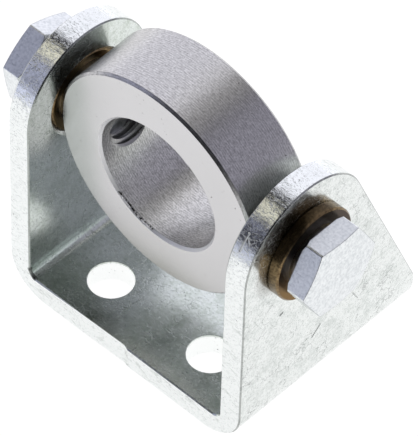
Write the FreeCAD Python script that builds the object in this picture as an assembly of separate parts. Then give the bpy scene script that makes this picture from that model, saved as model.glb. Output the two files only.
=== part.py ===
"""Swivel mount for the front end of a small pneumatic cylinder, in millimetres.

A bracket bent from thick sheet holds a turned ring between its two ears. The cylinder's nose goes through
the ring's bore. Two shoulder screws, one through each ear, carry the ring on flanged bushes, so that ring
and cylinder swivel together.

Frame: +X along the swivel axis, +Y to the back of the base, +Z up. The origin lies on the underside of the
base, straight below the swivel axis. Left is the -X side and right is the +X side.
"""

import FreeCAD, Part
import math
import os

from FreeCAD import Vector

# Swivel ring
ring_bore_dia = 22.0
ring_outer_dia = 37.5
ring_width = 11.8
ring_outer_chamfer = 0.4
ring_bore_chamfer = 0.4
ring_tilt_deg = 2.5
ring_side_gap = 0.35
ring_rest_share = 0.4
pivot_height = 34.0

# Bracket
sheet = 3.9
bend_inside_radius = 1.4
bend_outside_radius = 7.0
ear_crown_radius = 12.0
base_front_reach = 12.4
base_back_reach = 24.6
ear_back_foot_height = 7.8
ear_back_foot_round = 1.5
sheet_edge_break = 0.2
shear_step = 0.35
shear_step_run = 1.0
base_hole_dia = 7.1
base_hole_pitch = 20.0
base_hole_edge = 7.8

# Flanged bushes
bush_body_dia = 13.8
bush_flange_dia = 15.2
bush_flange_thickness = 1.9
bush_flange_chamfer = 0.25
bush_flange_back_chamfer = 0.2
bush_recess = 0.3
bush_end_chamfer = 0.25
bush_bore_chamfer = 0.3
ear_hole_chamfer = 0.5

# Shoulder screws
shoulder_dia = 10.0
shoulder_clearance = 0.03
thread_dia = 8.0
thread_clearance = 0.03
thread_end_chamfer = 0.6
thread_end_recess = 2.0
spot_face_depth = 1.0
spot_face_clearance = 0.2
head_across_flats = 12.8
head_height = 3.6
head_corner_round = 0.4
head_face_share = 0.925
head_face_chamfer_deg = 13.0
head_seat_share = 1.08
head_seat_chamfer_deg = 40.0
head_gap = 1.15
head_turn_left_deg = 40.0
head_turn_right_deg = 0.4

# Worked out from the values above
ring_outer_radius = ring_outer_dia / 2
ring_rest_x = ring_rest_share * ring_side_gap
ear_inner_x = ring_outer_radius + ring_side_gap
ear_outer_x = ear_inner_x + sheet
bush_face_x = ear_outer_x + bush_flange_thickness
head_seat_x = bush_face_x + head_gap
spot_face_x = ring_outer_radius - spot_face_depth
thread_end_x = ring_bore_dia / 2 + thread_end_recess

X = Vector(1, 0, 0)
Y = Vector(0, 1, 0)
Z = Vector(0, 0, 1)
PIVOT = Vector(0, 0, pivot_height)
LEFT, RIGHT = -1, 1


def arc_mid(centre, radius, from_deg, to_deg):
    """Middle point, in a plane's two coordinates, of the arc between two angles about a centre."""
    middle = math.radians((from_deg + to_deg) / 2)
    return centre[0] + radius * math.cos(middle), centre[1] + radius * math.sin(middle)


def tangent_angle(point, centre, radius, side):
    """Angle, in degrees, at which the line from a point touches a circle; side +1 or -1 picks the line."""
    away = math.atan2(point[1] - centre[1], point[0] - centre[0])
    distance = math.hypot(point[0] - centre[0], point[1] - centre[1])
    return math.degrees(away + side * math.acos(radius / distance))


def on_circle(centre, radius, angle_deg):
    angle = math.radians(angle_deg)
    return centre[0] + radius * math.cos(angle), centre[1] + radius * math.sin(angle)


def closed_face(steps, place):
    """Planar face from steps: a point ends a straight edge, a pair (middle, end) ends an arc."""
    edges = []
    start = steps[0]
    for step in steps[1:] + [steps[0]]:
        if isinstance(step[0], tuple):
            middle, end = step
            edges.append(Part.Arc(place(*start), place(*middle), place(*end)).toShape())
        else:
            end = step
            edges.append(Part.makeLine(place(*start), place(*end)))
        start = end
    return Part.Face(Part.Wire(edges))


def in_xz(y):
    return lambda x, z: Vector(x, y, z)


def in_yz(x):
    return lambda y, z: Vector(x, y, z)


def along_x(outline, side):
    """Solid of revolution about the swivel axis from (x, radius) points, on one side of the ring."""
    wire = Part.makePolygon([Vector(side * x, 0, r) for x, r in outline + outline[:1]])
    turned = Part.Face(wire).revolve(Vector(0, 0, 0), X, 360)
    turned.translate(PIVOT)
    return turned


def bent_sheet():
    """The U-shaped sheet before its ears are trimmed; it is thinner round each bend, where it stretched."""
    top = pivot_height + ear_crown_radius + sheet
    outer, inner = bend_outside_radius, bend_inside_radius
    floor = sheet + inner
    steps = [
        (-ear_outer_x, top),
        (-ear_outer_x, outer),
        (arc_mid((-ear_outer_x + outer, outer), outer, 180, 270), (-ear_outer_x + outer, 0)),
        (ear_outer_x - outer, 0),
        (arc_mid((ear_outer_x - outer, outer), outer, 270, 360), (ear_outer_x, outer)),
        (ear_outer_x, top),
        (ear_inner_x, top),
        (ear_inner_x, floor),
        (arc_mid((ear_inner_x - inner, floor), inner, 360, 270), (ear_inner_x - inner, sheet)),
        (-ear_inner_x + inner, sheet),
        (arc_mid((-ear_inner_x + inner, floor), inner, 270, 180), (-ear_inner_x, floor)),
        (-ear_inner_x, top),
    ]
    profile = closed_face(steps, in_xz(-base_front_reach - sheet))
    return profile.extrude(Y * (base_front_reach + base_back_reach + 2 * sheet))


def ear_outline():
    """Side view of the bracket: a round crown, a front edge that is almost upright, a sloped back edge."""
    crown = (0.0, pivot_height)
    below = -sheet
    front_foot = (-base_front_reach, 0.0)
    back_foot = (base_back_reach, ear_back_foot_height)
    front_deg = tangent_angle(front_foot, crown, ear_crown_radius, -1) + 360
    back_deg = tangent_angle(back_foot, crown, ear_crown_radius, 1)
    front_top = on_circle(crown, ear_crown_radius, front_deg)
    back_top = on_circle(crown, ear_crown_radius, back_deg)
    # The corner at the back foot is rounded: its arc touches the sloped edge and the upright edge.
    setback = ear_back_foot_round * math.tan(math.radians(back_deg / 2))
    round_centre = (base_back_reach - ear_back_foot_round, ear_back_foot_height - setback)
    round_start = on_circle(round_centre, ear_back_foot_round, back_deg)
    steps = [
        (-base_front_reach, below),
        front_foot,
        front_top,
        (arc_mid(crown, ear_crown_radius, front_deg, back_deg), back_top),
        round_start,
        (arc_mid(round_centre, ear_back_foot_round, back_deg, 0), (base_back_reach, round_centre[1])),
        (base_back_reach, below),
    ]
    width = 2 * ear_outer_x + 2 * sheet
    return closed_face(steps, in_yz(-width / 2)).extrude(X * width)


def sheet_edges(shape):
    """Edges that run round the trimmed sheet, where its faces meet its sheared edges at a right angle."""
    chosen = []
    for edge in shape.Edges:
        faces = shape.ancestorsOfType(edge, Part.Face)
        if len(faces) != 2:
            continue
        middle = edge.valueAt((edge.FirstParameter + edge.LastParameter) / 2)
        normals = [face.normalAt(*face.Surface.parameter(middle)) for face in faces]
        if abs(normals[0].dot(normals[1])) < 0.5:
            chosen.append(edge)
    return chosen


def shear_mark():
    """Wedge cut off the front edge of the base, left of the middle, where two strokes of the shear met."""
    front = -base_front_reach
    bend_start = -ear_inner_x
    steps = [
        (bend_start, front),
        (bend_start, front - shear_step),
        (shear_step_run, front - shear_step),
        (shear_step_run, front),
        (0.0, front + shear_step),
    ]
    return closed_face(steps, lambda x, y: Vector(x, y, -sheet)).extrude(Z * 3 * sheet)


def make_bracket():
    bracket = bent_sheet().common(ear_outline())
    bracket = bracket.makeChamfer(sheet_edge_break, sheet_edges(bracket))
    bracket = bracket.cut(shear_mark())
    front_row = -base_front_reach + base_hole_edge
    back_row = base_back_reach - base_hole_edge
    for x in (-base_hole_pitch / 2, base_hole_pitch / 2):
        for y in (front_row, back_row):
            hole = Part.makeCylinder(base_hole_dia / 2, 3 * sheet, Vector(x, y, -sheet), Z)
            bracket = bracket.cut(hole)
    body_radius = bush_body_dia / 2
    for side in (LEFT, RIGHT):
        hole = along_x([
            (ear_inner_x - sheet, 0.0),
            (ear_inner_x - sheet, body_radius + ear_hole_chamfer),
            (ear_inner_x, body_radius + ear_hole_chamfer),
            (ear_inner_x + ear_hole_chamfer, body_radius),
            (ear_outer_x + sheet, body_radius),
            (ear_outer_x + sheet, 0.0),
        ], side)
        bracket = bracket.cut(hole)
    return bracket


def make_bush(side):
    """Flanged bush pressed into one ear from outside, its flange flat on the ear and its sharp edges broken."""
    bore = shoulder_dia / 2 + shoulder_clearance
    body = bush_body_dia / 2
    flange = bush_flange_dia / 2
    return along_x([
        (ear_inner_x + bush_recess, bore + bush_bore_chamfer),
        (ear_inner_x + bush_recess, body - bush_end_chamfer),
        (ear_inner_x + bush_recess + bush_end_chamfer, body),
        (ear_outer_x, body),
        (ear_outer_x, flange - bush_flange_back_chamfer),
        (ear_outer_x + bush_flange_back_chamfer, flange),
        (bush_face_x - bush_flange_chamfer, flange),
        (bush_face_x, flange - bush_flange_chamfer),
        (bush_face_x, bore + bush_bore_chamfer),
        (bush_face_x - bush_bore_chamfer, bore),
        (ear_inner_x + bush_recess + bush_bore_chamfer, bore),
    ], side)


def make_ring():
    """Turned ring with its bore along Y, tilted about the swivel axis and pushed aside to its rest position."""
    bore, outer, half = ring_bore_dia / 2, ring_outer_radius, ring_width / 2
    points = [
        (bore + ring_bore_chamfer, -half),
        (outer - ring_outer_chamfer, -half),
        (outer, -half + ring_outer_chamfer),
        (outer, half - ring_outer_chamfer),
        (outer - ring_outer_chamfer, half),
        (bore + ring_bore_chamfer, half),
        (bore, half - ring_bore_chamfer),
        (bore, -half + ring_bore_chamfer),
    ]
    wire = Part.makePolygon([Vector(r, y, 0) for r, y in points + points[:1]])
    ring = Part.Face(wire).revolve(Vector(0, 0, 0), Y, 360)
    ring.rotate(Vector(0, 0, 0), X, ring_tilt_deg)
    ring.translate(PIVOT)
    for side in (LEFT, RIGHT):
        seat_radius = shoulder_dia / 2 + spot_face_clearance
        ring = ring.cut(along_x([
            (0.0, 0.0),
            (0.0, thread_dia / 2),
            (spot_face_x, thread_dia / 2),
            (spot_face_x, seat_radius),
            (ear_outer_x, seat_radius),
            (ear_outer_x, 0.0),
        ], side))
    ring.translate(X * ring_rest_x)
    return ring


def head_trim(side):
    """Two cones, base to base, that trim a hexagon head: a flat one at its face and a steep one at its seat."""
    face_radius = head_face_share * head_across_flats / 2
    seat_radius = head_seat_share * head_across_flats / 2
    face_slope = math.tan(math.radians(head_face_chamfer_deg))
    seat_slope = math.tan(math.radians(head_seat_chamfer_deg))
    rim_radius = (head_height + face_radius * face_slope + seat_radius * seat_slope) / (face_slope + seat_slope)
    return along_x([
        (head_seat_x, 0.0),
        (head_seat_x, seat_radius),
        (head_seat_x + (rim_radius - seat_radius) * seat_slope, rim_radius),
        (head_seat_x + head_height, face_radius),
        (head_seat_x + head_height, 0.0),
    ], side)


def make_screw(side, turn_deg):
    """Shoulder screw: its shoulder seats in the ring's spot face and turns in the bush."""
    thread = thread_dia / 2 - thread_clearance
    shank = along_x([
        (thread_end_x, 0.0),
        (thread_end_x, thread - thread_end_chamfer),
        (thread_end_x + thread_end_chamfer, thread),
        (spot_face_x, thread),
        (spot_face_x, shoulder_dia / 2),
        (head_seat_x, shoulder_dia / 2),
        (head_seat_x, 0.0),
    ], side)
    corner_radius = head_across_flats / 2 / math.cos(math.radians(30))
    corners = []
    for k in range(7):
        y, z = on_circle((0.0, pivot_height), corner_radius, turn_deg + 60 * k)
        corners.append(Vector(side * head_seat_x, y, z))
    prism = Part.Face(Part.makePolygon(corners)).extrude(X * side * head_height)
    corner_edges = [edge for edge in prism.Edges if edge.BoundBox.XLength > head_height / 2]
    head = prism.makeFillet(head_corner_round, corner_edges).common(head_trim(side))
    screw = head.fuse(shank).removeSplitter()
    screw.translate(X * ring_rest_x)
    return screw


def save(name, shape):
    solids = shape.Solids
    if len(solids) != 1 or not solids[0].isValid():
        raise ValueError(f"{name} is not one valid solid")
    solids[0].exportStep(f"parts/{name}.step")
    box = solids[0].BoundBox
    print(f"{name}: volume {solids[0].Volume:.1f}, box {box.XLength:.2f} x {box.YLength:.2f} x {box.ZLength:.2f}")


def main():
    os.makedirs("parts", exist_ok=True)
    save("bracket", make_bracket())
    save("bush_left", make_bush(LEFT))
    save("bush_right", make_bush(RIGHT))
    save("swivel_ring", make_ring())
    save("pivot_screw_left", make_screw(LEFT, head_turn_left_deg))
    save("pivot_screw_right", make_screw(RIGHT, head_turn_right_deg))


main()
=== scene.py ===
"""Swivel mount for a small pneumatic cylinder, finished for a studio picture.

The bracket, bushes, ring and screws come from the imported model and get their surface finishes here. New
pieces are the thread turns in the ring's two tapped holes and the burr on the edge of its bore.
Left is the -X side and right is the +X side; the camera looks down on the right front corner.
"""

import math

import bpy
import numpy as np
from bpy.props import FloatProperty, FloatVectorProperty, PointerProperty, StringProperty
from mathutils import Matrix, Vector


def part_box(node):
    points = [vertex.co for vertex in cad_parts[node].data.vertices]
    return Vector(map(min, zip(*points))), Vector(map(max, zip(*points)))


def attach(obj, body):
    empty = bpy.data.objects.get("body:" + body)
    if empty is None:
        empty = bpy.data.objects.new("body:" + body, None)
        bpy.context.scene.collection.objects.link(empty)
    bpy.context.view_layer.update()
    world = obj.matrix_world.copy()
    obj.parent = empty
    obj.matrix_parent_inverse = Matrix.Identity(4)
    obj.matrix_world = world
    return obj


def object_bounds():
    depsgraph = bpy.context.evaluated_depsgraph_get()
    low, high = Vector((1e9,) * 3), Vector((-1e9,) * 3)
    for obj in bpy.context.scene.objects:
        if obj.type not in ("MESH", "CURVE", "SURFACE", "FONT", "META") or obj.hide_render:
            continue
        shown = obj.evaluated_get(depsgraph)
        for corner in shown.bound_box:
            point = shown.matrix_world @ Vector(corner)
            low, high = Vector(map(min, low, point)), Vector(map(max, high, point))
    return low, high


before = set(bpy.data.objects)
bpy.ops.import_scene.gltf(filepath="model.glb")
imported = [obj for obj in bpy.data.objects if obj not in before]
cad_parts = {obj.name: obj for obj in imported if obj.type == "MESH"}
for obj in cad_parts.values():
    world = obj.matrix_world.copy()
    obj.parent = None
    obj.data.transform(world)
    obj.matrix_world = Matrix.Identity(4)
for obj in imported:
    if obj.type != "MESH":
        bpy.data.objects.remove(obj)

bl_info = {
    "name": "Cylinder swivel mount",
    "version": (1, 0, 0),
    "blender": (4, 5, 0),
    "location": "3D View > Sidebar > Swivel mount",
    "description": "Finishes, thread turns and studio stage for a cylinder swivel mount",
    "category": "Object",
}

CAD_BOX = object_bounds()
MM = 0.001
SIDES = {"left": -1, "right": 1}
RING_CENTRE = sum(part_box("swivel_ring"), Vector()) / 2
# Places that the finishes go by, in millimetres.
BASE_MIDDLE_Y = sum(corner.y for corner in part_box("bracket")) / 2 / MM  # middle of the base, front to back
BASE_HALF_DEPTH = 17.6  # a little less than half the base's depth
BASE_TOP = 3.5  # a little under the base's upper side
BENDS_TOP = 8.0  # height where the bends have ended
BENDS_INSIDE = 17.0  # distance from the middle where the bends begin
EAR_INSIDE = 19.2  # a little inside the ears' inner faces
EAR_MIDDLE = 22.0  # within the thickness of the ears
RING_MIDDLE_RADIUS = 15.0  # about halfway from the ring's bore to its outside
BORE_MOUTH_RADIUS = 12.0  # a little outside the bore's broken edge
FEED = 0.36  # advance of the turning tool in one turn of the ring
# The Mix node's inputs for colours go by number, because it has other inputs with the same names.
COLOUR_A, COLOUR_B = 6, 7
# Knocks and scratches on the bracket: start, end and width in millimetres, and how dark they are.
KNOCKS = (
    ((23.0, -4.5, 23.4), (23.0, -4.1, 23.5), 0.28, 0.7),
    ((23.0, 2.5, 12.6), (23.0, 4.1, 14.1), 0.20, 0.5),
    ((23.0, 10.9, 15.2), (23.0, 12.0, 13.2), 0.11, 0.25),
    ((20.4, -10.5, 39.9), (20.5, -8.8, 42.1), 0.20, 0.0),
    ((20.8, -9.2, 41.6), (21.4, -9.7, 41.1), 0.13, 0.0),
    ((-19.0, -12.4, 5.2), (-18.2, -12.4, 4.1), 0.60, 1.0),
)
# Painted shade on the right ear for the bush flange's shadow and dark reflection, from low in front of its
# bush to the top: start, end and width in millimetres.
FLANGE_SHADE = ((23.0, -5.2, 34.0), (23.0, -1.5, 40.8), 5.2)
# Lamps: azimuth, elevation and facing angle in degrees, distance and size in metres, radiance, colour.
LAMPS = {
    "back_left_box": (-141, 50, 0, 0.80, (0.80, 1.26), 1.08, "#F6F6FF"),
    "top_box": (178, 70, 60, 0.70, (0.42, 0.30), 0.40, "#FFFDF8"),
    "front_left_box": (-54, 55, 55, 0.55, (0.22, 0.15), 0.82, "#FFFAE6"),
    "front_low_box": (-49, 22, 0, 0.32, (0.19, 0.32), 0.57, "#D2D6F2"),
    "front_strip": (-20, 2, 0, 0.50, (0.24, 0.14), 0.82, "#DADEF2"),
    "back_right_box": (136, 36, 0, 0.65, (0.74, 0.80), 0.44, "#ECEAFC"),
}
# The white card's reach to the sides and the back, and its front edge, in metres.
CARD_REACH, CARD_FRONT = 3.0, -0.26


class SwivelRingSizes(bpy.types.PropertyGroup):
    tilt: FloatProperty(
        name="Ring tilt", description="Turn of the ring about the swivel axis at rest",
        default=math.radians(2.5), subtype="ANGLE")
    bore_radius: FloatProperty(
        name="Bore radius", description="Radius of the ring's bore",
        default=11.0 * MM, unit="LENGTH", precision=5)
    thread_radius: FloatProperty(
        name="Thread radius", description="Outer radius of the thread in the tapped holes",
        default=4.0 * MM, unit="LENGTH", precision=5)
    thread_pitch: FloatProperty(
        name="Thread pitch", description="Rise of the thread in one turn",
        default=1.25 * MM, unit="LENGTH", precision=5)
    width: FloatProperty(
        name="Width", description="Length of the bore", default=11.8 * MM, unit="LENGTH", precision=5)
    burr_from: FloatProperty(
        name="Burr from", description="Angle at which the burr on the bore's edge starts",
        default=math.radians(216), subtype="ANGLE")
    burr_to: FloatProperty(
        name="Burr to", description="Angle at which the burr on the bore's edge ends",
        default=math.radians(265), subtype="ANGLE")
    thread_end: FloatProperty(
        name="Thread end", description="Distance from the ring's centre to the end of the screw",
        default=13.0 * MM, unit="LENGTH", precision=5)


class SwivelColours(bpy.types.PropertyGroup):
    zinc: StringProperty(
        name="Zinc", description="Plated sheet, sRGB hex", default="#ECEFED")
    zinc_dull: StringProperty(
        name="Dull zinc", description="Dull grain in the plating", default="#D3D8D5")
    inside: StringProperty(
        name="Inner zinc", description="Thinner plating inside the bends", default="#E2E8E4")
    sheared: StringProperty(
        name="Sheared edge", description="Plated cut edge of the sheet", default="#F1F4F3")
    steel: StringProperty(
        name="Turned steel", description="Bare steel of the ring", default="#D7D6D7")
    bronze: StringProperty(
        name="Bronze", description="Bronze of the bushes", default="#95805F")
    screw: StringProperty(
        name="Screw zinc", description="Plated steel of the screws", default="#F1F4F5")


class SwivelStageSizes(bpy.types.PropertyGroup):
    azimuth: FloatProperty(
        name="Azimuth", description="Camera's turn from the front towards the right",
        default=math.radians(42.704), subtype="ANGLE")
    elevation: FloatProperty(
        name="Elevation", description="Camera's height over the horizon",
        default=math.radians(48.708), subtype="ANGLE")
    roll: FloatProperty(
        name="Roll", description="Camera's turn about its own line of sight",
        default=math.radians(1.297), subtype="ANGLE")
    distance: FloatProperty(
        name="Distance", description="Camera to target", default=620.94 * MM, unit="LENGTH")
    lens: FloatProperty(name="Lens", description="Focal length on a 36 mm sensor", default=360.3)
    target: FloatVectorProperty(
        name="Target", description="Point in the middle of the picture",
        default=(2.752 * MM, 2.318 * MM, 22.161 * MM), subtype="XYZ", unit="LENGTH")


def srgb(text):
    """Linear colour, with alpha, of an sRGB hex value."""
    values = [int(text[i:i + 2], 16) / 255 for i in (1, 3, 5)]
    return tuple(v / 12.92 if v <= 0.04045 else ((v + 0.055) / 1.055) ** 2.4 for v in values) + (1.0,)


def add_node(tree, kind, inputs=None, **settings):
    """Adds a node with its settings. An input takes a value, a socket, or a node's first live output."""
    node = tree.nodes.new(kind)
    for name, value in settings.items():
        setattr(node, name, value)
    for name, value in (inputs or {}).items():
        if isinstance(value, bpy.types.Node):
            value = next(output for output in value.outputs if output.enabled)
        if isinstance(value, bpy.types.NodeSocket):
            tree.links.new(value, node.inputs[name])
        else:
            node.inputs[name].default_value = value
    return node


def start_material(name, edge_radius):
    """New material, its node tree, the object's point in mm, its normal and its normal with broken edges."""
    material = bpy.data.materials.new(name)
    material.use_nodes = True
    tree = material.node_tree
    tree.nodes.clear()
    place = add_node(tree, "ShaderNodeTexCoord")
    point = add_node(tree, "ShaderNodeVectorMath", {
        0: place.outputs["Object"], "Scale": 1 / MM}, operation="SCALE")
    rounded = add_node(tree, "ShaderNodeBevel", {"Radius": edge_radius * MM}, samples=6)
    return material, tree, point, place.outputs["Normal"], rounded


def finish_material(tree, colour, roughness, normal):
    """Metal shader with the given colour, roughness and bumped normal."""
    shader = add_node(tree, "ShaderNodeBsdfPrincipled", {
        "Base Color": colour, "Metallic": 1.0, "Roughness": roughness, "Normal": normal})
    add_node(tree, "ShaderNodeOutputMaterial", {"Surface": shader})


def scratches(tree, point, turn, width, length, share):
    """Sparse thin marks, 1 on a mark: the band where stretched noise crosses its middle, kept in patches."""
    placed = add_node(tree, "ShaderNodeMapping", {
        "Vector": point, "Rotation": turn, "Scale": (1 / length, 1 / (8 * width), 1 / (8 * width))})
    waves = add_node(tree, "ShaderNodeTexNoise", {"Vector": placed, "Scale": 1.0, "Detail": 2.0})
    off_middle = add_node(tree, "ShaderNodeMath", {0: waves, 1: 0.5}, operation="SUBTRACT")
    distance = add_node(tree, "ShaderNodeMath", {0: off_middle}, operation="ABSOLUTE")
    line = add_node(tree, "ShaderNodeMapRange", {
        "Value": distance, "From Min": 0.0, "From Max": 0.025, "To Min": 1.0, "To Max": 0.0})
    patches = add_node(tree, "ShaderNodeTexNoise", {"Vector": placed, "Scale": 2.3, "Detail": 1.0})
    kept = add_node(tree, "ShaderNodeMapRange", {
        "Value": patches, "From Min": 0.64 - 0.3 * share, "From Max": 0.70 - 0.3 * share})
    return add_node(tree, "ShaderNodeMath", {0: line, 1: kept}, operation="MULTIPLY")


def pits(tree, point, size, share):
    """Small specks, 1 inside a speck: the peaks of noise about twice as coarse as a speck."""
    peaks = add_node(tree, "ShaderNodeTexNoise", {"Vector": point, "Scale": 0.5 / size, "Detail": 2.0})
    return add_node(tree, "ShaderNodeMapRange", {
        "Value": peaks, "From Min": 0.74 - 0.2 * share, "From Max": 0.80 - 0.2 * share})


def cracks(tree, point, cell, width, share):
    """Meandering lines, 1 on a line: edges of cells laid over a wavy copy of the point, kept in patches."""
    waves = add_node(tree, "ShaderNodeTexNoise", {"Vector": point, "Scale": 1.6 / cell, "Detail": 2.0})
    wavy = add_node(tree, "ShaderNodeVectorMath", {
        0: waves.outputs["Color"], 1: (cell, cell, cell), 2: point}, operation="MULTIPLY_ADD")
    cells = add_node(tree, "ShaderNodeTexVoronoi", {
        "Vector": wavy, "Scale": 1 / cell}, feature="DISTANCE_TO_EDGE")
    line = add_node(tree, "ShaderNodeMapRange", {
        "Value": cells, "From Min": 0.3 * width / cell, "From Max": width / cell,
        "To Min": 1.0, "To Max": 0.0})
    patches = add_node(tree, "ShaderNodeTexNoise", {"Vector": point, "Scale": 0.7 / cell, "Detail": 1.0})
    kept = add_node(tree, "ShaderNodeMapRange", {
        "Value": patches, "From Min": 0.64 - 0.3 * share, "From Max": 0.74 - 0.3 * share})
    return add_node(tree, "ShaderNodeMath", {0: line, 1: kept}, operation="MULTIPLY")


def sharp_edges(tree, rounded):
    """1 along convex and hollow edges: where the rounded normal leaves the true one."""
    true = add_node(tree, "ShaderNodeNewGeometry")
    agreement = add_node(tree, "ShaderNodeVectorMath", {
        0: rounded, 1: true.outputs["True Normal"]}, operation="DOT_PRODUCT")
    return add_node(tree, "ShaderNodeMapRange", {
        "Value": agreement.outputs["Value"], "From Min": 0.99, "From Max": 0.90})


def stroke(tree, point, start, end, width):
    """One mark at a stated place, 1 on it: the points closer than its width to a line from start to end."""
    start, way = Vector(start), Vector(end) - Vector(start)
    reach = max(way.length_squared, 1e-6)
    from_start = add_node(tree, "ShaderNodeVectorMath", {0: point, 1: start}, operation="SUBTRACT")
    along = add_node(tree, "ShaderNodeVectorMath", {0: from_start, 1: way}, operation="DOT_PRODUCT")
    share = add_node(tree, "ShaderNodeMath", {
        0: along.outputs["Value"], 1: reach}, operation="DIVIDE", use_clamp=True)
    reached = add_node(tree, "ShaderNodeVectorMath", {0: way, "Scale": share}, operation="SCALE")
    aside = add_node(tree, "ShaderNodeVectorMath", {0: from_start, 1: reached}, operation="DISTANCE")
    return add_node(tree, "ShaderNodeMapRange", {
        "Value": aside.outputs["Value"], "From Min": 0.4 * width, "From Max": width,
        "To Min": 1.0, "To Max": 0.0})


def sheet_zones(tree, normal, point):
    """Masks of the bracket: sheared edges, walls of holes, broken corners, and the inside of the bends."""
    turned = add_node(tree, "ShaderNodeSeparateXYZ", {"Vector": normal})
    at = add_node(tree, "ShaderNodeSeparateXYZ", {"Vector": point})
    # A sheared edge faces neither along X, as the ears do, nor up or down low on the part, as the base does.
    across = add_node(tree, "ShaderNodeMath", {0: turned.outputs["X"]}, operation="ABSOLUTE")
    upright = add_node(tree, "ShaderNodeMath", {0: turned.outputs["Z"]}, operation="ABSOLUTE")
    not_ear = add_node(tree, "ShaderNodeMapRange", {
        "Value": across, "From Min": 0.02, "From Max": 0.08, "To Min": 1.0, "To Max": 0.0})
    not_level = add_node(tree, "ShaderNodeMapRange", {
        "Value": upright, "From Min": 0.5, "From Max": 0.6, "To Min": 1.0, "To Max": 0.0})
    high = add_node(tree, "ShaderNodeMapRange", {
        "Value": at.outputs["Z"], "From Min": BENDS_TOP, "From Max": BENDS_TOP + 0.5})
    not_base = add_node(tree, "ShaderNodeMath", {0: high, 1: not_level}, operation="MAXIMUM")
    edge = add_node(tree, "ShaderNodeMath", {0: not_ear, 1: not_base}, operation="MULTIPLY")
    # The punch burnishes the walls of the holes: upright, low, between the ears and away from the outline.
    aside = add_node(tree, "ShaderNodeMath", {0: at.outputs["X"]}, operation="ABSOLUTE")
    between = add_node(tree, "ShaderNodeMapRange", {
        "Value": aside, "From Min": EAR_INSIDE, "From Max": EAR_INSIDE + 0.2, "To Min": 1.0, "To Max": 0.0})
    low = add_node(tree, "ShaderNodeMath", {0: at.outputs["Z"], 1: BASE_TOP}, operation="LESS_THAN")
    within = add_node(tree, "ShaderNodeMath", {
        0: at.outputs["Y"], 1: BASE_MIDDLE_Y, 2: BASE_HALF_DEPTH}, operation="COMPARE")
    wall = add_node(tree, "ShaderNodeMath", {0: not_level, 1: low}, operation="MULTIPLY")
    wall = add_node(tree, "ShaderNodeMath", {0: wall, 1: between}, operation="MULTIPLY")
    wall = add_node(tree, "ShaderNodeMath", {0: wall, 1: within}, operation="MULTIPLY")
    edge = add_node(tree, "ShaderNodeMath", {0: edge, 1: wall}, operation="SUBTRACT", use_clamp=True)
    # The broken corner beside a sheared edge faces half along X; painted shade darkens it for the dark line
    # its edge break shows by reflection.
    leaning = add_node(tree, "ShaderNodeMath", {0: across, 1: 0.70, 2: 0.12}, operation="COMPARE")
    forward = add_node(tree, "ShaderNodeMath", {0: turned.outputs["Y"]}, operation="ABSOLUTE")
    sideways = add_node(tree, "ShaderNodeMath", {0: forward, 1: 0.5}, operation="GREATER_THAN")
    on_ear = add_node(tree, "ShaderNodeMath", {0: aside, 1: BENDS_INSIDE}, operation="GREATER_THAN")
    low_ear = add_node(tree, "ShaderNodeMath", {0: sideways, 1: on_ear}, operation="MULTIPLY")
    off_bend = add_node(tree, "ShaderNodeMath", {0: high, 1: low_ear}, operation="MAXIMUM")
    corner = add_node(tree, "ShaderNodeMath", {0: leaning, 1: off_bend}, operation="MULTIPLY")
    corner = add_node(tree, "ShaderNodeMath", {0: corner, 1: 0.5}, operation="MULTIPLY")
    # Less zinc reaches the inside of the bends, so the plating there is thinner and darker.
    above = add_node(tree, "ShaderNodeMapRange", {
        "Value": at.outputs["Z"], "From Min": BASE_TOP, "From Max": BASE_TOP + 0.3})
    inner = add_node(tree, "ShaderNodeMath", {0: between, 1: above}, operation="MULTIPLY")
    return edge, wall, corner, inner


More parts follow.
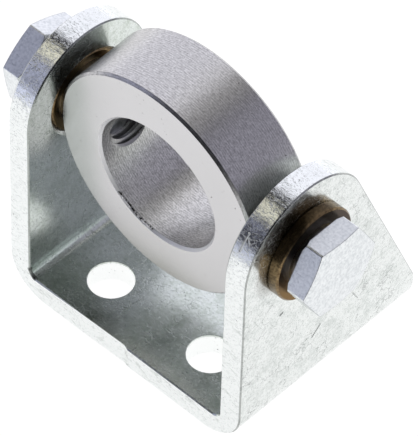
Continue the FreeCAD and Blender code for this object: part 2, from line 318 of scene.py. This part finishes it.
def sheet_wear(tree, point, edge, wall, inner):
    """Masks of the bracket's wear: all marks, how dark they are, and the knocks that go deep."""
    # Scuffs from the barrel are faint inside the bends. Knocks are deeper, at the places in KNOCKS.
    scuffs = scratches(tree, point, (0.5, 0.3, 0.9), 0.05, 1.6, 0.28)
    strokes = scratches(tree, point, (0.1, 1.2, 0.4), 0.05, 1.4, 0.25)
    specks = pits(tree, point, 0.16, 0.3)
    crackle = cracks(tree, point, 2.4, 0.07, 0.45)
    scuffed = add_node(tree, "ShaderNodeMath", {0: scuffs, 1: strokes}, operation="MAXIMUM")
    sheltered = add_node(tree, "ShaderNodeMath", {0: inner, 1: 0.6, 2: wall}, operation="MULTIPLY_ADD")
    outside = add_node(tree, "ShaderNodeMath", {0: 1.0, 1: sheltered}, operation="SUBTRACT", use_clamp=True)
    scuffed = add_node(tree, "ShaderNodeMath", {0: scuffed, 1: outside}, operation="MULTIPLY")
    marks = add_node(tree, "ShaderNodeMath", {0: scuffed, 1: specks}, operation="MAXIMUM")
    dirt = add_node(tree, "ShaderNodeMath", {0: specks, 1: 0.5}, operation="MULTIPLY")
    deep = 0.0
    for start, end, width, darkness in KNOCKS:
        mark = stroke(tree, point, start, end, width)
        darkened = add_node(tree, "ShaderNodeMath", {0: mark, 1: darkness}, operation="MULTIPLY")
        deep = add_node(tree, "ShaderNodeMath", {0: deep, 1: mark}, operation="MAXIMUM")
        dirt = add_node(tree, "ShaderNodeMath", {0: dirt, 1: darkened}, operation="MAXIMUM")
    marks = add_node(tree, "ShaderNodeMath", {0: marks, 1: deep}, operation="MAXIMUM")
    scores = scratches(tree, point, (0.9, 0.2, 1.3), 0.06, 1.2, 0.20)
    scores = add_node(tree, "ShaderNodeMath", {0: scores, 1: edge}, operation="MULTIPLY")
    marks = add_node(tree, "ShaderNodeMath", {0: marks, 1: scores}, operation="MAXIMUM")
    off_edge = add_node(tree, "ShaderNodeMapRange", {"Value": edge, "To Min": 0.18, "To Max": 0.10})
    faded = add_node(tree, "ShaderNodeMath", {0: scuffed, 1: off_edge}, operation="MULTIPLY")
    on_faces = add_node(tree, "ShaderNodeMapRange", {"Value": edge, "To Min": 1.0, "To Max": 0.35})
    cracked = add_node(tree, "ShaderNodeMath", {0: crackle, 1: outside}, operation="MULTIPLY")
    cracked = add_node(tree, "ShaderNodeMath", {0: cracked, 1: on_faces}, operation="MULTIPLY")
    marks = add_node(tree, "ShaderNodeMath", {0: marks, 1: cracked}, operation="MAXIMUM")
    cracked = add_node(tree, "ShaderNodeMath", {0: cracked, 1: 0.26}, operation="MULTIPLY")
    dirt = add_node(tree, "ShaderNodeMath", {0: dirt, 1: cracked}, operation="MAXIMUM")
    dark = add_node(tree, "ShaderNodeMath", {0: faded, 1: dirt}, operation="MAXIMUM")
    return marks, dark, deep


def zinc_plated_sheet(colours):
    """Bent steel sheet, barrel zinc plated: satin, mottled and scuffed, and streaky on its sheared edges."""
    material, tree, point, normal, rounded = start_material("zinc_plated_sheet", 0.12)
    edge, wall, corner, inner = sheet_zones(tree, normal, point)
    marks, dark, deep = sheet_wear(tree, point, edge, wall, inner)
    clouds = add_node(tree, "ShaderNodeTexNoise", {"Vector": point, "Scale": 1 / 2.5, "Detail": 4.0})
    grain = add_node(tree, "ShaderNodeTexNoise", {"Vector": point, "Scale": 1 / 0.5, "Detail": 3.0})
    uneven = add_node(tree, "ShaderNodeMath", {0: grain, 1: clouds}, operation="ADD")
    mottle = add_node(tree, "ShaderNodeMapRange", {"Value": uneven, "From Min": 0.75, "From Max": 1.1})
    sheet = add_node(tree, "ShaderNodeMix", {
        0: mottle, COLOUR_A: srgb(colours.zinc_dull), COLOUR_B: srgb(colours.zinc)}, data_type="RGBA")
    thin = add_node(tree, "ShaderNodeMix", {
        0: mottle, COLOUR_A: srgb("#CAD2CA"), COLOUR_B: srgb(colours.inside)}, data_type="RGBA")
    sheet = add_node(tree, "ShaderNodeMix", {0: inner, COLOUR_A: sheet, COLOUR_B: thin}, data_type="RGBA")
    # Streaks run across the sheet's thickness, as the punch leaves them.
    streaked = add_node(tree, "ShaderNodeMapping", {"Vector": point, "Scale": (1 / 1.8, 1 / 0.8, 1 / 0.8)})
    streaks = add_node(tree, "ShaderNodeTexNoise", {
        "Vector": streaked, "Scale": 1.0, "Detail": 6.0, "Roughness": 0.62, "Distortion": 0.6})
    torn_share = add_node(tree, "ShaderNodeMapRange", {"Value": streaks, "From Min": 0.54, "From Max": 0.72})
    sheared = add_node(tree, "ShaderNodeMix", {
        0: torn_share, COLOUR_A: srgb(colours.sheared), COLOUR_B: srgb("#D3D8D5")}, data_type="RGBA")
    plain = add_node(tree, "ShaderNodeMix", {0: edge, COLOUR_A: sheet, COLOUR_B: sheared}, data_type="RGBA")
    plain = add_node(tree, "ShaderNodeMix", {
        0: wall, COLOUR_A: plain, COLOUR_B: srgb("#FBFDFC")}, data_type="RGBA")
    # Painted shade beside the right bush darkens the plating, standing for the flange's shadow and its dark
    # reflection in the ear.
    shaded = add_node(tree, "ShaderNodeMath", {0: stroke(tree, point, *FLANGE_SHADE), 1: 0.8}, operation="MULTIPLY")
    # The broken corners' painted shade joins the wear in the dark mix.
    dark = add_node(tree, "ShaderNodeMath", {0: dark, 1: corner}, operation="MAXIMUM", use_clamp=True)
    colour = add_node(tree, "ShaderNodeMix", {
        0: dark, COLOUR_A: plain, COLOUR_B: srgb("#5A5D5B")}, data_type="RGBA")
    colour = add_node(tree, "ShaderNodeMix", {
        0: shaded, COLOUR_A: colour, COLOUR_B: srgb("#524B3B")}, data_type="RGBA")
    peel = add_node(tree, "ShaderNodeTexNoise", {"Vector": point, "Scale": 1 / 1.1, "Detail": 3.0})
    rough = add_node(tree, "ShaderNodeMapRange", {
        "Value": clouds, "From Min": 0.3, "From Max": 0.7, "To Min": 0.13, "To Max": 0.19})
    rough = add_node(tree, "ShaderNodeMath", {0: inner, 1: 0.07, 2: rough}, operation="MULTIPLY_ADD")
    rough = add_node(tree, "ShaderNodeMath", {0: marks, 1: 0.35, 2: rough}, operation="MULTIPLY_ADD")
    waved = add_node(tree, "ShaderNodeBump", {
        "Strength": 0.35, "Distance": 0.04 * MM, "Height": peel, "Normal": rounded})
    scored = add_node(tree, "ShaderNodeBump", {
        "Strength": 0.6, "Distance": 0.03 * MM, "Height": marks, "Normal": waved}, invert=True)
    torn = add_node(tree, "ShaderNodeBump", {
        "Strength": edge, "Distance": 0.05 * MM, "Height": streaks, "Normal": scored})
    knocked = add_node(tree, "ShaderNodeBump", {
        "Strength": 0.8, "Distance": 0.10 * MM, "Height": deep, "Normal": torn}, invert=True)
    finish_material(tree, colour, rough, knocked)
    return material


def turned_steel(colours, tilt):
    """Bare turned steel: feed lines and chatter specks outside and in the bore, and finely faced ends."""
    material, tree, point, normal, rounded = start_material("turned_steel", 0.08)
    centre = tuple(-c / MM for c in RING_CENTRE)
    shifted = add_node(tree, "ShaderNodeVectorMath", {0: point, 1: centre}, operation="ADD")
    squared = add_node(tree, "ShaderNodeMapping", {"Vector": shifted, "Rotation": (-tilt, 0, 0)})
    facing = add_node(tree, "ShaderNodeMapping", {"Vector": normal, "Rotation": (-tilt, 0, 0)})
    own = add_node(tree, "ShaderNodeSeparateXYZ", {"Vector": squared})
    facing_axis = add_node(tree, "ShaderNodeSeparateXYZ", {"Vector": facing})
    flat = add_node(tree, "ShaderNodeMath", {0: facing_axis.outputs["Y"]}, operation="ABSOLUTE")
    face = add_node(tree, "ShaderNodeMapRange", {"Value": flat, "From Min": 0.9, "From Max": 0.95})
    # Rolled out flat: way round the ring, way along its axis, distance from its axis.
    angle = add_node(tree, "ShaderNodeMath", {0: own.outputs["Z"], 1: own.outputs["X"]}, operation="ARCTAN2")
    around = add_node(tree, "ShaderNodeMath", {0: angle, 1: RING_MIDDLE_RADIUS}, operation="MULTIPLY")
    level = add_node(tree, "ShaderNodeCombineXYZ", {"X": own.outputs["X"], "Z": own.outputs["Z"]})
    radius = add_node(tree, "ShaderNodeVectorMath", {0: level}, operation="LENGTH")
    rolled = add_node(tree, "ShaderNodeCombineXYZ", {
        "X": around, "Y": own.outputs["Y"], "Z": radius.outputs["Value"]})
    lines_at = add_node(tree, "ShaderNodeMapping", {"Vector": rolled, "Scale": (1 / 0.7, 1 / 0.15, 1 / 0.15)})
    specks_at = add_node(tree, "ShaderNodeMapping", {
        "Vector": rolled, "Scale": (1 / 0.22, 1 / 0.24, 1 / 0.24)})
    lines = add_node(tree, "ShaderNodeTexNoise", {"Vector": lines_at, "Scale": 1.0, "Detail": 2.0})
    specks = add_node(tree, "ShaderNodeTexNoise", {
        "Vector": specks_at, "Scale": 1.0, "Detail": 3.0, "Roughness": 0.65})
    both = add_node(tree, "ShaderNodeMath", {0: lines, 1: specks}, operation="ADD")
    phase = add_node(tree, "ShaderNodeMath", {
        0: own.outputs["Y"], 1: 2 * math.pi / FEED}, operation="MULTIPLY")
    feed = add_node(tree, "ShaderNodeMath", {0: phase}, operation="SINE")
    both = add_node(tree, "ShaderNodeMath", {0: feed, 1: 0.07, 2: both}, operation="MULTIPLY_ADD")
    tone = add_node(tree, "ShaderNodeMapRange", {"Value": both, "From Min": 0.75, "From Max": 1.25})
    turned = add_node(tree, "ShaderNodeMix", {
        0: tone, COLOUR_A: srgb("#A9A8A8"), COLOUR_B: srgb("#E2E1E1")}, data_type="RGBA")
    # The boring tool leaves the bore a little brighter than the outside.
    mouth = add_node(tree, "ShaderNodeMath", {
        0: radius.outputs["Value"], 1: BORE_MOUTH_RADIUS}, operation="LESS_THAN")
    bright = add_node(tree, "ShaderNodeMix", {
        0: tone, COLOUR_A: srgb("#A6A5A3"), COLOUR_B: srgb("#EDECEB")}, data_type="RGBA")
    turned = add_node(tree, "ShaderNodeMix", {0: mouth, COLOUR_A: turned, COLOUR_B: bright}, data_type="RGBA")
    clouds = add_node(tree, "ShaderNodeTexNoise", {"Vector": point, "Scale": 1 / 9.0, "Detail": 1.0})
    faced = add_node(tree, "ShaderNodeMix", {
        0: clouds, COLOUR_A: srgb("#CECDCE"), COLOUR_B: srgb(colours.steel)}, data_type="RGBA")
    plain = add_node(tree, "ShaderNodeMix", {0: face, COLOUR_A: turned, COLOUR_B: faced}, data_type="RGBA")
    spots = pits(tree, point, 0.2, 0.15)
    colour = add_node(tree, "ShaderNodeMix", {
        0: spots, COLOUR_A: plain, COLOUR_B: srgb("#706C6B")}, data_type="RGBA")
    depth = add_node(tree, "ShaderNodeMapRange", {"Value": face, "To Min": 0.22, "To Max": 0.02})
    scored = add_node(tree, "ShaderNodeBump", {
        "Strength": depth, "Distance": 0.03 * MM, "Height": both, "Normal": rounded})
    rough = add_node(tree, "ShaderNodeMapRange", {"Value": face, "To Min": 0.33, "To Max": 0.27})
    # The bore's mouth is broken by hand with a file: bright and dull.
    slanting = add_node(tree, "ShaderNodeMath", {0: flat, 1: 0.65, 2: 0.25}, operation="COMPARE")
    filed = add_node(tree, "ShaderNodeMath", {0: slanting, 1: mouth}, operation="MULTIPLY")
    colour = add_node(tree, "ShaderNodeMix", {
        0: filed, COLOUR_A: colour, COLOUR_B: srgb("#FAFAFB")}, data_type="RGBA")
    rough = add_node(tree, "ShaderNodeMath", {0: filed, 1: 0.3, 2: rough}, operation="MULTIPLY_ADD")
    finish_material(tree, colour, rough, scored)
    return material


def sintered_bronze(colours):
    """Oil-filled sintered bronze: dull brown with dark pores."""
    material, tree, point, normal, rounded = start_material("sintered_bronze", 0.12)
    grain = add_node(tree, "ShaderNodeTexNoise", {"Vector": point, "Scale": 1 / 0.35, "Detail": 3.0})
    tone = add_node(tree, "ShaderNodeMapRange", {"Value": grain, "From Min": 0.35, "From Max": 0.65})
    plain = add_node(tree, "ShaderNodeMix", {
        0: tone, COLOUR_A: srgb("#5C4C36"), COLOUR_B: srgb(colours.bronze)}, data_type="RGBA")
    # The end faces are darkened, partly as oil in the bronze and partly as painted shade; on the outer flange
    # faces a painted shadow of the screw head deepens towards the top.
    turned = add_node(tree, "ShaderNodeSeparateXYZ", {"Vector": normal})
    across = add_node(tree, "ShaderNodeMath", {0: turned.outputs["X"]}, operation="ABSOLUTE")
    end_face = add_node(tree, "ShaderNodeMapRange", {"Value": across, "From Min": 0.9, "From Max": 0.95})
    at = add_node(tree, "ShaderNodeSeparateXYZ", {"Vector": point})
    aside = add_node(tree, "ShaderNodeMath", {0: at.outputs["X"]}, operation="ABSOLUTE")
    flange = add_node(tree, "ShaderNodeMath", {0: aside, 1: EAR_MIDDLE}, operation="GREATER_THAN")
    rise = add_node(tree, "ShaderNodeMapRange", {
        "Value": at.outputs["Z"], "From Min": 31.0, "From Max": 36.0})
    darkened = add_node(tree, "ShaderNodeMix", {
        0: rise, COLOUR_A: srgb("#735316"), COLOUR_B: srgb("#35240F")}, data_type="RGBA")
    shaded = add_node(tree, "ShaderNodeMix", {
        0: flange, COLOUR_A: srgb("#75603A"), COLOUR_B: darkened}, data_type="RGBA")
    plain = add_node(tree, "ShaderNodeMix", {0: end_face, COLOUR_A: plain, COLOUR_B: shaded}, data_type="RGBA")
    pores = pits(tree, point, 0.15, 0.3)
    colour = add_node(tree, "ShaderNodeMix", {
        0: pores, COLOUR_A: plain, COLOUR_B: srgb("#2E2013")}, data_type="RGBA")
    pitted = add_node(tree, "ShaderNodeBump", {
        "Strength": 0.3, "Distance": 0.03 * MM, "Height": grain, "Normal": rounded})
    finish_material(tree, colour, 0.26, pitted)
    return material


def zinc_plated_forging(colours):
    """Cold-forged, zinc plated screw: grained by the barrel and a little blue."""
    material, tree, point, normal, rounded = start_material("zinc_plated_forging", 0.18)
    grain = add_node(tree, "ShaderNodeTexNoise", {"Vector": point, "Scale": 1 / 0.4, "Detail": 3.0})
    tone = add_node(tree, "ShaderNodeMapRange", {"Value": grain, "From Min": 0.35, "From Max": 0.62})
    plain = add_node(tree, "ShaderNodeMix", {
        0: tone, COLOUR_A: srgb("#D8DCDE"), COLOUR_B: srgb(colours.screw)}, data_type="RGBA")
    scuffs = scratches(tree, point, (0.4, 0.8, 0.2), 0.08, 2.5, 0.3)
    wear_and_shade = add_node(tree, "ShaderNodeMath", {0: scuffs, 1: 0.35}, operation="MULTIPLY")
    # Painted shade along the edges of the head, for the dark line their rounding shows by reflection.
    edge_shade = add_node(tree, "ShaderNodeMath", {0: sharp_edges(tree, rounded), 1: 0.75}, operation="MULTIPLY")
    wear_and_shade = add_node(tree, "ShaderNodeMath", {0: wear_and_shade, 1: edge_shade}, operation="MAXIMUM")
    # The level flat on top of the right head is painted darker than the others.
    turned = add_node(tree, "ShaderNodeSeparateXYZ", {"Vector": normal})
    at = add_node(tree, "ShaderNodeSeparateXYZ", {"Vector": point})
    level = add_node(tree, "ShaderNodeMath", {0: turned.outputs["Z"], 1: 0.97}, operation="GREATER_THAN")
    right = add_node(tree, "ShaderNodeMath", {0: at.outputs["X"], 1: 0.0}, operation="GREATER_THAN")
    darker_flat = add_node(tree, "ShaderNodeMath", {0: level, 1: right}, operation="MULTIPLY")
    darker_flat = add_node(tree, "ShaderNodeMath", {0: darker_flat, 1: 0.30}, operation="MULTIPLY")
    wear_and_shade = add_node(tree, "ShaderNodeMath", {0: wear_and_shade, 1: darker_flat}, operation="MAXIMUM")
    colour = add_node(tree, "ShaderNodeMix", {
        0: wear_and_shade, COLOUR_A: plain, COLOUR_B: srgb("#6E7278")}, data_type="RGBA")
    # The flats of the head are rubbed by the die, so they are more grained than its top.
    across = add_node(tree, "ShaderNodeMath", {0: turned.outputs["X"]}, operation="ABSOLUTE")
    grain_depth = add_node(tree, "ShaderNodeMapRange", {
        "Value": across, "From Min": 0.2, "From Max": 0.6, "To Min": 0.6, "To Max": 0.35})
    grained = add_node(tree, "ShaderNodeBump", {
        "Strength": grain_depth, "Distance": 0.04 * MM, "Height": grain, "Normal": rounded})
    rough = add_node(tree, "ShaderNodeMapRange", {
        "Value": across, "From Min": 0.2, "From Max": 0.6, "To Min": 0.28, "To Max": 0.3})
    finish_material(tree, colour, rough, grained)
    return material


def tapped_steel():
    """Freshly cut thread in bare steel: bright flanks and no plating."""
    material, tree, point, _, rounded = start_material("tapped_steel", 0.05)
    grain = add_node(tree, "ShaderNodeTexNoise", {"Vector": point, "Scale": 1 / 0.25, "Detail": 2.0})
    colour = add_node(tree, "ShaderNodeMix", {
        0: grain, COLOUR_A: srgb("#858585"), COLOUR_B: srgb("#B9B9B8")}, data_type="RGBA")
    torn = add_node(tree, "ShaderNodeBump", {
        "Strength": 0.3, "Distance": 0.03 * MM, "Height": grain, "Normal": rounded})
    finish_material(tree, colour, 0.3, torn)
    return material


def torn_steel():
    """Burr of torn steel: mostly dark folds with a few bright tips."""
    material, tree, point, _, rounded = start_material("torn_steel", 0.05)
    grain = add_node(tree, "ShaderNodeTexNoise", {"Vector": point, "Scale": 1 / 0.8, "Detail": 4.0})
    tips = add_node(tree, "ShaderNodeMapRange", {"Value": grain, "From Min": 0.47, "From Max": 0.51})
    colour = add_node(tree, "ShaderNodeMix", {
        0: tips, COLOUR_A: srgb("#343232"), COLOUR_B: srgb("#F2F1F2")}, data_type="RGBA")
    folded = add_node(tree, "ShaderNodeBump", {
        "Strength": 0.8, "Distance": 0.1 * MM, "Height": grain, "Normal": rounded})
    finish_material(tree, colour, 0.4, folded)
    return material


def dress(node, material):
    """Puts one material on every slot of a CAD node."""
    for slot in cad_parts[node].material_slots:
        slot.material = material


def surface_mesh(name, points):
    """Closed mesh from a grid of points that wraps round in both directions.

    points has shape (rows, columns, 3). Each point is joined to the next in its row and its column, and the
    last ones to the first, so the grid closes like a ring tube.
    """
    rows, columns = points.shape[:2]
    row = np.arange(rows)[:, None]
    column = np.arange(columns)[None, :]
    next_row, next_column = (row + 1) % rows, (column + 1) % columns
    quads = np.stack([
        row * columns + column,
        row * columns + next_column,
        next_row * columns + next_column,
        next_row * columns + column,
    ], axis=-1).reshape(-1, 4)
    mesh = bpy.data.meshes.new(name)
    mesh.vertices.add(rows * columns)
    mesh.vertices.foreach_set("co", points.reshape(-1).astype(np.float32))
    mesh.loops.add(quads.size)
    mesh.loops.foreach_set("vertex_index", quads.reshape(-1).astype(np.int32))
    mesh.polygons.add(len(quads))
    mesh.polygons.foreach_set("loop_start", np.arange(0, quads.size, 4, dtype=np.int32))
    mesh.update(calc_edges=True)
    mesh.validate()
    return mesh


def new_piece(name, mesh, body, material):
    piece = bpy.data.objects.new(name, mesh)
    bpy.context.scene.collection.objects.link(piece)
    mesh.materials.append(material)
    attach(piece, body)
    return piece


def thread_turns(sizes, side):
    """Points of the thread cut in one tapped hole of the ring.

    With x the distance from the ring's centre and a the angle about the hole's axis, the wall's radius is
    the thread's outer radius less its depth times a trapezium wave of x / pitch - a / turn. It begins on
    the bore, where x squared plus (radius times sin a) squared is the bore's radius squared, with a
    countersink that falls from the outer radius, and its back lies just inside the hole's wall.
    """
    outer = sizes.thread_radius
    depth = 0.54 * sizes.thread_pitch
    angle = np.linspace(0, 2 * np.pi, 180, endpoint=False)[:, None]
    along = np.linspace(0, 1, 110)[None, :]
    start = np.sqrt(sizes.bore_radius ** 2 - (outer * np.sin(angle)) ** 2)
    x = start + along * (sizes.thread_end + 0.1 * MM - start)
    phase = np.abs((x / sizes.thread_pitch - side * angle / (2 * np.pi)) % 1 - 0.5)
    groove = np.clip((0.375 - phase) / 0.3125, 0, 1)
    radius = outer - depth * (1 - groove)
    radius = np.maximum(radius, outer - 1.2 * (x - start))
    back_x = np.stack([x[:, -1], start[:, 0]], axis=1)
    back_radius = np.full_like(back_x, outer)
    x = np.concatenate([x, back_x], axis=1)
    radius = np.concatenate([radius, back_radius], axis=1)
    turned = angle + sizes.tilt
    y = radius * np.cos(turned)
    z = radius * np.sin(turned)
    points = np.stack([side * x, y, z], axis=-1) + np.array(RING_CENTRE)
    return points if side < 0 else points[::-1]


def bore_burr(sizes):
    """Points of the ragged burr on the bore's front edge, low on the left.

    A thin tube runs round the bore's edge, hidden in the steel. Between two angles a window, with raised
    cosine ends, lifts its middle out to the edge's chamfer. Sums of sines of the angle make its thickness and
    its lift ragged. Its middle goes from 0.65 to 0.12 mm outside the bore, and from 0.40 to 0.26 mm behind
    the ring's front.
    """
    rise, fall = 0.3, 0.05
    around = np.linspace(0, 2 * np.pi, 1440, endpoint=False)[:, None]
    section = np.linspace(0, 2 * np.pi, 10, endpoint=False)[None, :]
    inside = np.clip((around - sizes.burr_from) / rise, 0, 1) * np.clip((sizes.burr_to - around) / fall, 0, 1)
    window = 0.5 - 0.5 * np.cos(np.pi * inside)
    waves = ((53, 0.4), (89, 1.1), (137, 2.3), (229, 0.9), (311, 4.2))
    ragged = sum(np.sin(times * around + shift + section * (times > 200)) for times, shift in waves) / 2
    thick = (0.16 + 0.07 * ragged) * MM
    lift = window * (1.05 + 0.2 * np.sin(71 * around + 2) * np.sin(29 * around))
    radius = sizes.bore_radius + (0.65 - 0.53 * lift) * MM + thick * np.cos(section)
    depth = -sizes.width / 2 + (0.40 - 0.14 * lift) * MM + thick * np.sin(section)
    y = depth * np.cos(sizes.tilt) - radius * np.sin(around) * np.sin(sizes.tilt)
    z = depth * np.sin(sizes.tilt) + radius * np.sin(around) * np.cos(sizes.tilt)
    return np.stack([radius * np.cos(around), y, z], axis=-1) + np.array(RING_CENTRE)


class SWIVEL_OT_bracket(bpy.types.Operator):
    """Gives the bent bracket its zinc plating"""
    bl_idname = "swivel.bracket"
    bl_label = "Finish bracket"

    def execute(self, context):
        dress("bracket", zinc_plated_sheet(context.scene.swivel_colours))
        return {"FINISHED"}


class SWIVEL_OT_bushes(bpy.types.Operator):
    """Gives both flanged bushes their bronze"""
    bl_idname = "swivel.bushes"
    bl_label = "Finish bushes"

    def execute(self, context):
        material = sintered_bronze(context.scene.swivel_colours)
        for side in SIDES:
            dress(f"bush_{side}", material)
        return {"FINISHED"}


class SWIVEL_OT_ring(bpy.types.Operator):
    """Gives the swivel ring its turned surface"""
    bl_idname = "swivel.ring"
    bl_label = "Finish ring"

    def execute(self, context):
        dress("swivel_ring", turned_steel(context.scene.swivel_colours, context.scene.swivel_ring.tilt))
        return {"FINISHED"}


class SWIVEL_OT_screws(bpy.types.Operator):
    """Gives both shoulder screws their plating"""
    bl_idname = "swivel.screws"
    bl_label = "Finish screws"

    def execute(self, context):
        material = zinc_plated_forging(context.scene.swivel_colours)
        for side in SIDES:
            dress(f"pivot_screw_{side}", material)
        return {"FINISHED"}


class SWIVEL_OT_threads(bpy.types.Operator):
    """Cuts the thread turns that show in the ring's tapped holes"""
    bl_idname = "swivel.threads"
    bl_label = "Cut thread turns"

    def execute(self, context):
        material = tapped_steel()
        for name, side in SIDES.items():
            mesh = surface_mesh(f"thread_turns_{name}", thread_turns(context.scene.swivel_ring, side))
            piece = new_piece(f"thread_turns_{name}", mesh, "ring", material)
            piece.data.shade_smooth()
        return {"FINISHED"}


class SWIVEL_OT_burr(bpy.types.Operator):
    """Leaves the boring tool's burr on the edge of the ring's bore"""
    bl_idname = "swivel.burr"
    bl_label = "Leave burr"

    def execute(self, context):
        mesh = surface_mesh("bore_burr", bore_burr(context.scene.swivel_ring))
        new_piece("bore_burr", mesh, "ring", torn_steel())
        return {"FINISHED"}


def studio_floor():
    """White card: the camera and the metal see it white, with only a faint shadow left on it."""
    material = bpy.data.materials.new("white_card")
    material.use_nodes = True
    tree = material.node_tree
    tree.nodes.clear()
    path = add_node(tree, "ShaderNodeLightPath")
    seen = add_node(tree, "ShaderNodeMath", {
        0: path.outputs["Is Camera Ray"], 1: path.outputs["Is Glossy Ray"]}, operation="MAXIMUM")
    seen = add_node(tree, "ShaderNodeMath", {
        0: seen, 1: path.outputs["Is Transmission Ray"]}, operation="MAXIMUM")
    plain = add_node(tree, "ShaderNodeBsdfDiffuse", {"Color": srgb("#E6E6E6")})
    glow = add_node(tree, "ShaderNodeEmission", {"Color": (1, 1, 1, 1), "Strength": 0.98})
    shade = add_node(tree, "ShaderNodeBsdfDiffuse", {"Color": srgb("#8C8C8C")})
    lit = add_node(tree, "ShaderNodeAddShader", {0: glow, 1: shade})
    mixed = add_node(tree, "ShaderNodeMixShader", {0: seen, 1: plain, 2: lit})
    add_node(tree, "ShaderNodeOutputMaterial", {"Surface": mixed})
    return material


def studio_world():
    """White behind the object for the camera, and a dim room for everything else."""
    world = bpy.data.worlds.new("studio")
    world.use_nodes = True
    tree = world.node_tree
    tree.nodes.clear()
    path = add_node(tree, "ShaderNodeLightPath")
    room = add_node(tree, "ShaderNodeBackground", {"Color": srgb("#8A8A94"), "Strength": 0.12})
    white = add_node(tree, "ShaderNodeBackground", {"Color": (1, 1, 1, 1), "Strength": 1.0})
    mixed = add_node(tree, "ShaderNodeMixShader", {0: path.outputs["Is Camera Ray"], 1: room, 2: white})
    add_node(tree, "ShaderNodeOutputWorld", {"Surface": mixed})
    bpy.context.scene.world = world


def soft_box(name, azimuth, elevation, facing, distance, size, radiance, colour):
    """Rectangular lamp in a direction from the object, tipped down by the facing angle.

    Its power gives it the stated radiance: pi times area times radiance.
    """
    lamp = bpy.data.lights.new(name, "AREA")
    lamp.shape = "RECTANGLE"
    lamp.size, lamp.size_y = size
    lamp.energy = math.pi * size[0] * size[1] * radiance
    lamp.color = srgb(colour)[:3]
    holder = bpy.data.objects.new(name, lamp)
    bpy.context.scene.collection.objects.link(holder)
    a, e, f = math.radians(azimuth), math.radians(elevation), math.radians(facing)
    away = Vector((math.sin(a) * math.cos(e), -math.cos(a) * math.cos(e), math.sin(e)))
    holder.location = Vector(RING_CENTRE) + away * distance
    back = Vector((math.sin(a) * math.cos(f), -math.cos(a) * math.cos(f), math.sin(f)))
    holder.rotation_mode = "QUATERNION"
    holder.rotation_quaternion = back.to_track_quat("Z", "Y")


class SWIVEL_OT_stage(bpy.types.Operator):
    """Sets the floor, the soft lamps and the camera"""
    bl_idname = "swivel.stage"
    bl_label = "Set stage"

    def execute(self, context):
        side, front = CARD_REACH, CARD_FRONT
        corners = [(-side, front, 0), (side, front, 0), (side, side, 0), (-side, side, 0)]
        mesh = bpy.data.meshes.new("floor")
        mesh.from_pydata(corners, [], [(0, 1, 2, 3)])
        mesh.transform(Matrix.Translation((0, 0, CAD_BOX[0].z - 0.02 * MM)))
        mesh.materials.append(studio_floor())
        floor = bpy.data.objects.new("floor", mesh)
        context.scene.collection.objects.link(floor)
        studio_world()
        for name, values in LAMPS.items():
            soft_box(name, *values)
        self.set_camera(context, context.scene.swivel_stage)
        context.scene.view_settings.view_transform = "Standard"
        return {"FINISHED"}

    def set_camera(self, context, sizes):
        a, e, roll = sizes.azimuth, sizes.elevation, sizes.roll
        back = Vector((math.sin(a) * math.cos(e), -math.cos(a) * math.cos(e), math.sin(e)))
        right = Vector((0, 0, 1)).cross(back).normalized()
        up = back.cross(right)
        turned_right = math.cos(roll) * right + math.sin(roll) * up
        turned_up = -math.sin(roll) * right + math.cos(roll) * up
        lens = bpy.data.cameras.new("camera")
        lens.sensor_fit = "AUTO"
        lens.sensor_width = 36.0
        lens.lens = sizes.lens
        lens.clip_start, lens.clip_end = 0.01, 20.0
        camera = bpy.data.objects.new("camera", lens)
        context.scene.collection.objects.link(camera)
        turn = Matrix((turned_right, turned_up, back)).transposed().to_4x4()
        camera.matrix_world = Matrix.Translation(Vector(sizes.target) + back * sizes.distance) @ turn
        context.scene.camera = camera


OPERATORS = (
    SWIVEL_OT_bracket,
    SWIVEL_OT_bushes,
    SWIVEL_OT_ring,
    SWIVEL_OT_screws,
    SWIVEL_OT_threads,
    SWIVEL_OT_burr,
    SWIVEL_OT_stage,
)


class SWIVEL_PT_panel(bpy.types.Panel):
    """Lists the pieces of the swivel mount"""
    bl_idname = "SWIVEL_PT_panel"
    bl_label = "Swivel mount"
    bl_space_type = "VIEW_3D"
    bl_region_type = "UI"
    bl_category = "Swivel mount"

    def draw(self, context):
        for operator in OPERATORS:
            self.layout.operator(operator.bl_idname)


GROUPS = {
    "swivel_ring": SwivelRingSizes,
    "swivel_colours": SwivelColours,
    "swivel_stage": SwivelStageSizes,
}


def register():
    for name, group in GROUPS.items():
        bpy.utils.register_class(group)
        setattr(bpy.types.Scene, name, PointerProperty(type=group))
    for item in OPERATORS + (SWIVEL_PT_panel,):
        bpy.utils.register_class(item)


def unregister():
    for item in reversed(OPERATORS + (SWIVEL_PT_panel,)):
        bpy.utils.unregister_class(item)
    for name, group in GROUPS.items():
        delattr(bpy.types.Scene, name)
        bpy.utils.unregister_class(group)


def main():
    register()
    bpy.ops.swivel.bracket()
    bpy.ops.swivel.bushes()
    bpy.ops.swivel.ring()
    bpy.ops.swivel.screws()
    bpy.ops.swivel.threads()
    bpy.ops.swivel.burr()
    bpy.ops.swivel.stage()


if __name__ == "__main__":
    main()
